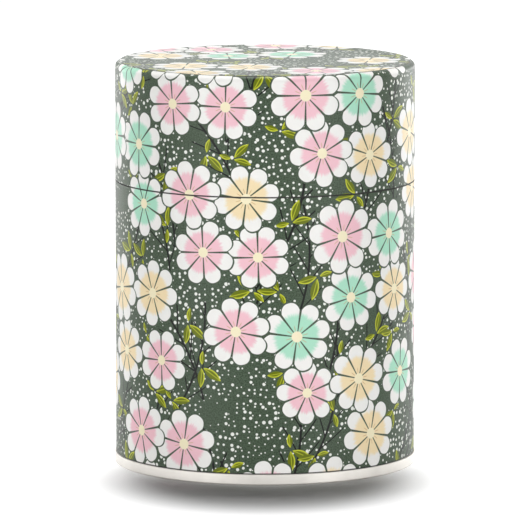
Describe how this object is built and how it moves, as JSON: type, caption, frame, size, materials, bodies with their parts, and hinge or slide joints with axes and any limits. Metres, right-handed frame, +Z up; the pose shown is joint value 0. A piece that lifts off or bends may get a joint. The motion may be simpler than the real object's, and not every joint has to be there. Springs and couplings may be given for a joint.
{
  "type": "tea caddy",
  "caption": "Round tinplate tea caddy wrapped in floral printed paper, with a slip lid over a neck and a knobbed inner lid that keeps the tea from the air.",
  "frame": {"origin": "on the table, under the caddy's axis", "axes": "+Z up along the caddy's axis, -Y towards the viewer of the picture, +Y towards the paper's overlap at the back"},
  "size_m": [0.0826, 0.0826, 0.1107],
  "materials": {
    "tinplate": "satin tin",
    "knob_metal": "turned, satin",
    "printed_paper": "satin floral print"
  },
  "bodies": {
    "canister": {"base_end": "tinplate", "body_shell": "tinplate", "neck_sleeve": "tinplate", "body_paper": "printed_paper"},
    "inner_cover": {"inner_lid_pan": "tinplate", "inner_lid_knob": "knob_metal", "knob_rivet": "knob_metal"},
    "outer_lid": {"lid_wall": "tinplate", "lid_top_plate": "tinplate", "lid_side_paper": "printed_paper", "lid_top_paper": "printed_paper"}
  },
  "joints": [
    {"name": "lid_lift", "type": "slide", "parent": "canister", "child": "outer_lid", "axis": [0, 0, 1], "range_m": [0, 0.07]},
    {"name": "inner_lid_lift", "type": "slide", "parent": "canister", "child": "inner_cover", "axis": [0, 0, 1], "range_m": [0, 0.035]}
  ],
  "couplings": [
    {"joint": "inner_lid_lift", "follows": "lid_lift", "ratio": 0.5}
  ]
}
